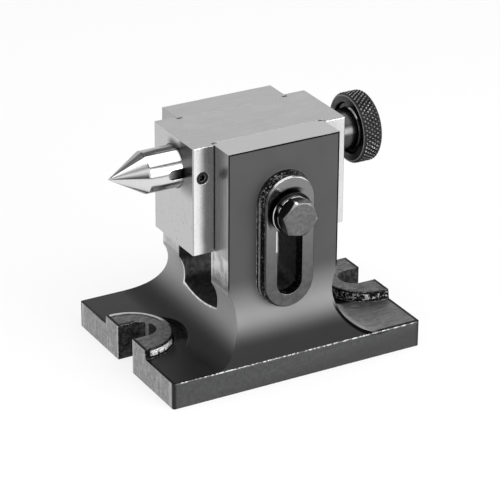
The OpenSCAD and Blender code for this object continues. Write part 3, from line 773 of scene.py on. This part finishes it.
def knob_finish():
    """Glossy black oxide; the tips of the knurl are rubbed bright."""
    f = Finish("black_knob")
    out = f.distance(f.y, f.z, 0.0, AXIS_Z)
    facing_x = f.size_of(f.nx)
    mottle = f.noise(1.4, 4.0, 0.6)
    rings = f.noise(0.5, 3.0, 0.6, stretch=(1, 30, 30), offset=2.0)

    # Ring and hub, then the knurled rim round them
    plain = f.shades(mottle, 0.3, 0.7, 0.090, 0.135)
    # Painted shade on the near part of the faces that look along the axis.
    plain = f.mix(f.both(f.below(f.y, -4.0, 4.0), f.above(facing_x, 0.8)), plain, grey(0.050))
    plain = f.mix(f.both(f.below(out, HUB_RADIUS + 0.1), f.below(facing_x, 0.3)), plain, grey(0.075))
    f.color = f.mix(f.above(out, RING_RADIUS + 0.05), plain, f.shades(mottle, 0.3, 0.7, 0.075, 0.11))
    groove = f.both(f.between(out, KNOB_RADIUS - 1.0, KNOB_RADIUS - 0.42), f.below(facing_x, 0.55))
    f.paint(groove, grey(0.022))
    tip = f.both(f.above(out, KNOB_RADIUS - 0.26, 0.14), f.remap(mottle, 0.25, 0.6))
    f.paint(tip, f.shades(mottle, 0.4, 0.6, 0.15, 0.33))
    on_rim = f.above(out, RING_RADIUS + 0.05, 0.15)
    shoulder = f.both(on_rim, f.between(facing_x, 0.5, 0.9))
    f.paint(shoulder, grey(0.035))
    ring_edge = f.both(f.between(out, RING_RADIUS - 0.25, RING_RADIUS + 0.25), f.below(f.x, KNOB_FRONT + 0.5))
    f.paint(ring_edge, grey(0.20))

    # A painted highlight in an arc where the hub meets the dish, painted shade on the rest of the dish, and a
    # painted highlight round the hub's front edge
    arc = f.both(f.between(out, HUB_RADIUS - 0.2, HUB_RADIUS + 0.7), f.above(f.z, AXIS_Z + 7.2, 0.6),
                 f.below(f.y, 0.0, 1.0), f.between(f.x, KNOB_FRONT + 0.8, KNOB_FRONT + DISH_DEPTH + 0.1))
    f.paint(arc, grey(0.70))
    dish = f.both(f.between(out, HUB_RADIUS + 0.15, HUB_RADIUS + DISH_WIDTH, 0.05),
                  f.below(f.z, AXIS_Z + 7.0, 0.6))
    f.paint(dish, grey(0.030))
    hub_rim = f.both(f.between(out, HUB_RADIUS - 0.5, HUB_RADIUS + 0.2), f.below(f.x, HUB_FRONT + 0.7))
    f.paint(hub_rim, grey(0.30))

    far_edge = f.both(f.above(f.x, KNOB_BACK - 1.6, 0.3), on_rim)
    f.paint(far_edge, grey(0.020))
    dull = f.either(shoulder, far_edge)
    roughness = f.blend(f.either(tip, dull), f.remap(rings, 0.3, 0.7, 0.20, 0.32), 0.42)
    return f.done(roughness=roughness, metallic=f.without(dull), specular=0.15, specular_tint=grey(0.2),
                  normal=f.bump(rings, 0.006))


def triangle_wave(turns):
    """Goes 0, 1, 0 once in every turn."""
    part = turns - math.floor(turns)
    return 1 - abs(2 * part - 1)


def knurl_height(cell, along):
    """Raised pyramids between two crossing sets of V grooves, from 0 in a groove to 1 at a tip."""
    shift = along / KNURL_CELL_LENGTH
    return min(triangle_wave(cell + shift), triangle_wave(cell - shift))


def plain_points(*points):
    """Points of the knob's section that carry no knurl, from pairs (along the axis, radius)."""
    return [(along, radius, False) for along, radius in points]


def knob_profile():
    """Points (along the axis, radius, knurled or not) round the knob's section, from its bore outward."""
    ease = 0.35
    chamfer_rows = 10
    rim_rows = 56
    dish_floor = KNOB_FRONT + DISH_DEPTH
    back_floor = KNOB_BACK - DISH_DEPTH
    ring_inner = HUB_RADIUS + DISH_WIDTH
    points = plain_points((HUB_FRONT, JOURNAL_RADIUS), (HUB_FRONT, HUB_RADIUS - 0.6),
                          (HUB_FRONT + 0.2, HUB_RADIUS - 0.2), (HUB_FRONT + 0.6, HUB_RADIUS),
                          (KNOB_FRONT + 1.0, HUB_RADIUS), (dish_floor, HUB_RADIUS + 0.5),
                          (dish_floor, ring_inner - 0.5), (KNOB_FRONT + ease, ring_inner - 0.05),
                          (KNOB_FRONT, ring_inner + ease), (KNOB_FRONT, RING_RADIUS))
    shares = [row / chamfer_rows for row in range(1, chamfer_rows + 1)]
    chamfer = [(KNOB_CHAMFER * share, RING_RADIUS + (KNOB_RADIUS - RING_RADIUS) * share) for share in shares]
    rim_length = KNOB_WIDTH - 2 * KNOB_CHAMFER
    points += [(KNOB_FRONT + inward, radius, True) for inward, radius in chamfer]
    for row in range(1, rim_rows):
        points.append((KNOB_FRONT + KNOB_CHAMFER + rim_length * row / rim_rows, KNOB_RADIUS, True))
    points += [(KNOB_BACK - inward, radius, True) for inward, radius in reversed(chamfer)]
    return points + plain_points((KNOB_BACK, RING_RADIUS), (KNOB_BACK, ring_inner),
                                 (KNOB_BACK - ease, ring_inner - ease),
                                 (back_floor + ease, HUB_RADIUS + ease), (back_floor, HUB_RADIUS),
                                 (back_floor, JOURNAL_RADIUS))


def make_knob(material):
    """The knob with a true diamond knurl, as one closed mesh in the part's frame."""
    mesh = bmesh.new()
    columns = KNURL_CELLS * KNURL_STEPS
    rings = []
    for along, radius, knurled in knob_profile():
        ring = []
        for column in range(columns):
            angle = 2 * math.pi * column / columns
            out = radius
            if knurled:
                cut = KNURL_DEPTH * (1 - knurl_height(column / KNURL_STEPS, along - KNOB_FRONT))
                out = min(radius, KNOB_RADIUS - cut)
            place = Vector((along, out * math.sin(angle), AXIS_Z + out * math.cos(angle)))
            ring.append(mesh.verts.new(place * MM))
        rings.append(ring)
    for first, second in zip(rings, rings[1:] + rings[:1]):
        for column in range(columns):
            after = (column + 1) % columns
            mesh.faces.new((first[column], first[after], second[after], second[column]))
    bmesh.ops.recalc_face_normals(mesh, faces=mesh.faces)
    data = bpy.data.meshes.new("knurled_knob")
    mesh.to_mesh(data)
    mesh.free()
    for face in data.polygons:
        face.use_smooth = True
    data.set_sharp_from_angle(angle=math.radians(28))
    knob = bpy.data.objects.new("knurled_knob", data)
    bpy.context.scene.collection.objects.link(knob)
    data.materials.append(material)
    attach(knob, "feed")
    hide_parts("knob")


def dress(node, material):
    """Gives a CAD node its material."""
    mesh = nodes[node].data
    mesh.materials.clear()
    mesh.materials.append(material)


# The photograph's camera
CAMERA_PLACE = Vector((-536.9, -950.8, 568.0)) * MM
CAMERA_AZIMUTH = math.radians(-29.474)
CAMERA_ELEVATION = math.radians(25.585)
CAMERA_ROLL = math.radians(0.378)
FOCAL_LENGTH = 184.67
SENSOR_WIDTH = 36.0


def make_camera():
    """A camera that looks at the part as the photograph does."""
    back = Vector((math.sin(CAMERA_AZIMUTH) * math.cos(CAMERA_ELEVATION),
                   -math.cos(CAMERA_AZIMUTH) * math.cos(CAMERA_ELEVATION), math.sin(CAMERA_ELEVATION)))
    level = Vector((math.cos(CAMERA_AZIMUTH), math.sin(CAMERA_AZIMUTH), 0))
    upward = back.cross(level)
    right = math.cos(CAMERA_ROLL) * level + math.sin(CAMERA_ROLL) * upward
    up = -math.sin(CAMERA_ROLL) * level + math.cos(CAMERA_ROLL) * upward
    data = bpy.data.cameras.new("camera")
    data.lens = FOCAL_LENGTH
    data.sensor_width = SENSOR_WIDTH
    data.clip_start = 0.01
    camera = bpy.data.objects.new("camera", data)
    camera.matrix_world = Matrix.Translation(CAMERA_PLACE) @ Matrix((right, up, back)).transposed().to_4x4()
    bpy.context.scene.collection.objects.link(camera)
    bpy.context.scene.camera = camera


def make_lamp(name, place, width, height, power):
    """A softbox at place, turned to the middle of the part; metres and watts."""
    middle = Vector((0.0, 0.0, 0.06))
    data = bpy.data.lights.new(name, "AREA")
    data.shape = "RECTANGLE"
    data.size = width
    data.size_y = height
    data.energy = power
    lamp = bpy.data.objects.new(name, data)
    direction = middle - Vector(place)
    lamp.matrix_world = Matrix.Translation(place) @ direction.to_track_quat("-Z", "Y").to_matrix().to_4x4()
    bpy.context.scene.collection.objects.link(lamp)
    lamp.visible_camera = False


def make_lights():
    """A low softbox in front, a high one over the part, and a weak one from the left."""
    make_lamp("front_softbox", (0.50, -1.02, 0.28), width=1.3, height=0.62, power=17.0)
    make_lamp("top_softbox", (0.0, -0.22, 1.25), width=1.6, height=1.7, power=14.0)
    make_lamp("left_fill", (-1.3, 0.1, 0.45), width=0.9, height=0.9, power=5.0)


def strength_for(tree, plain, seen, reflected):
    """One strength for light on the part, one for the camera, and one for reflections and glass."""
    path = tree.nodes.new("ShaderNodeLightPath")

    def choose(flag, first, second):
        made = tree.nodes.new("ShaderNodeMix")
        tree.links.new(flag, made.inputs[0])
        for value, socket in ((first, made.inputs[2]), (second, made.inputs[3])):
            if isinstance(value, bpy.types.NodeSocket):
                tree.links.new(value, socket)
            else:
                socket.default_value = value
        return made.outputs[0]

    mirrored = choose(path.outputs["Is Glossy Ray"], plain, reflected)
    mirrored = choose(path.outputs["Is Transmission Ray"], mirrored, reflected)
    return choose(path.outputs["Is Camera Ray"], mirrored, seen)


def smooth_step(tree, value, low, high, to_low, to_high):
    """Goes smoothly from to_low to to_high as the value goes from low to high."""
    made = tree.nodes.new("ShaderNodeMapRange")
    made.interpolation_type = "SMOOTHSTEP"
    tree.links.new(value, made.inputs["Value"])
    for name, setting in (("From Min", low), ("From Max", high), ("To Min", to_low), ("To Max", to_high)):
        made.inputs[name].default_value = setting
    return made.outputs[0]


def make_world():
    """White for the camera; in reflections white walls under a darker ceiling; plain grey for the light."""
    ceiling_starts = math.sin(math.radians(29))
    ceiling_full = math.sin(math.radians(34))
    ceiling_strength = 0.25
    world = bpy.data.worlds.new("studio")
    bpy.context.scene.world = world
    world.use_nodes = True
    tree = world.node_tree
    shown = tree.nodes["Background"]
    shown.inputs["Color"].default_value = (1, 1, 1, 1)
    height = tree.nodes.new("ShaderNodeSeparateXYZ")
    tree.links.new(tree.nodes.new("ShaderNodeTexCoord").outputs["Generated"], height.inputs[0])
    walls = smooth_step(tree, height.outputs[2], ceiling_starts, ceiling_full, 1.0, ceiling_strength)
    strength = strength_for(tree, plain=0.40, seen=1.0, reflected=walls)
    tree.links.new(strength, shown.inputs["Strength"])


def floor_material():
    """Pale and glowing, with the part's shadow; reflections see a dark line across it in front."""
    pale = 0.86
    line_strength = 0.12
    line_back_edge = (-0.29, -0.26)
    line_front_edge = (-0.42, -0.38)
    material = bpy.data.materials.new("floor")
    material.use_nodes = True
    tree = material.node_tree
    shader = tree.nodes["Principled BSDF"]
    shader.inputs["Base Color"].default_value = (pale, pale, pale, 1)
    shader.inputs["Roughness"].default_value = 0.9
    shader.inputs["Specular IOR Level"].default_value = 0.0
    glow = tree.nodes.new("ShaderNodeEmission")
    split = tree.nodes.new("ShaderNodeSeparateXYZ")
    tree.links.new(tree.nodes.new("ShaderNodeTexCoord").outputs["Object"], split.inputs[0])
    line = tree.nodes.new("ShaderNodeMath")
    line.operation = "MAXIMUM"
    behind = smooth_step(tree, split.outputs[1], *line_back_edge, line_strength, 1.0)
    in_front = smooth_step(tree, split.outputs[1], *line_front_edge, 1.0, line_strength)
    tree.links.new(behind, line.inputs[0])
    tree.links.new(in_front, line.inputs[1])
    strength = strength_for(tree, plain=1.0, seen=1.0, reflected=line.outputs[0])
    tree.links.new(strength, glow.inputs["Strength"])
    both = tree.nodes.new("ShaderNodeMixShader")
    tree.links.new(strength_for(tree, plain=0.0, seen=0.75, reflected=0.85), both.inputs[0])
    tree.links.new(shader.outputs[0], both.inputs[1])
    tree.links.new(glow.outputs[0], both.inputs[2])
    tree.links.new(both.outputs[0], tree.nodes["Material Output"].inputs["Surface"])
    return material


def make_floor():
    """A floor that fades into the white background."""
    half = 4.0
    mesh = bmesh.new()
    corners = ((-half, -half), (half, -half), (half, half), (-half, half))
    mesh.faces.new([mesh.verts.new((x, y, 0)) for x, y in corners])
    data = bpy.data.meshes.new("floor")
    mesh.to_mesh(data)
    mesh.free()
    floor = bpy.data.objects.new("floor", data)
    bpy.context.scene.collection.objects.link(floor)
    data.materials.append(floor_material())


make_camera()
make_lights()
make_world()
make_floor()

dress("base_casting", casting_finish())
dress("sliding_block", ground_steel_finish())
dress("centre", polished_finish())
turned = turned_steel_finish()
dress("feed_screw", turned)
dress("knob_pin", turned)
dress("flanged_bush", bronze_finish())
dress("clamp_bolt", black_oxide_finish("black_bolt", face=0.125, side=0.016, rough=(0.32, 0.44),
                                       edge_grey=0.30))
dress("clamp_washer", black_oxide_finish("black_washer", face=0.009, side=0.006, rough=(0.34, 0.48),
                                         edge_grey=0.01, edge_radius=0.7))
# The spring washer's side and edges are painted near white: a painted highlight on its rim.
dress("spring_washer", black_oxide_finish("spring_washer", face=0.03, side=0.80, rough=(0.28, 0.42),
                                          edge_grey=0.70))
dress("guide_screw", black_oxide_finish("black_screw", face=0.03, side=0.02, rough=(0.35, 0.5)))
make_knob(knob_finish())

bpy.context.scene.view_settings.view_transform = "Standard"
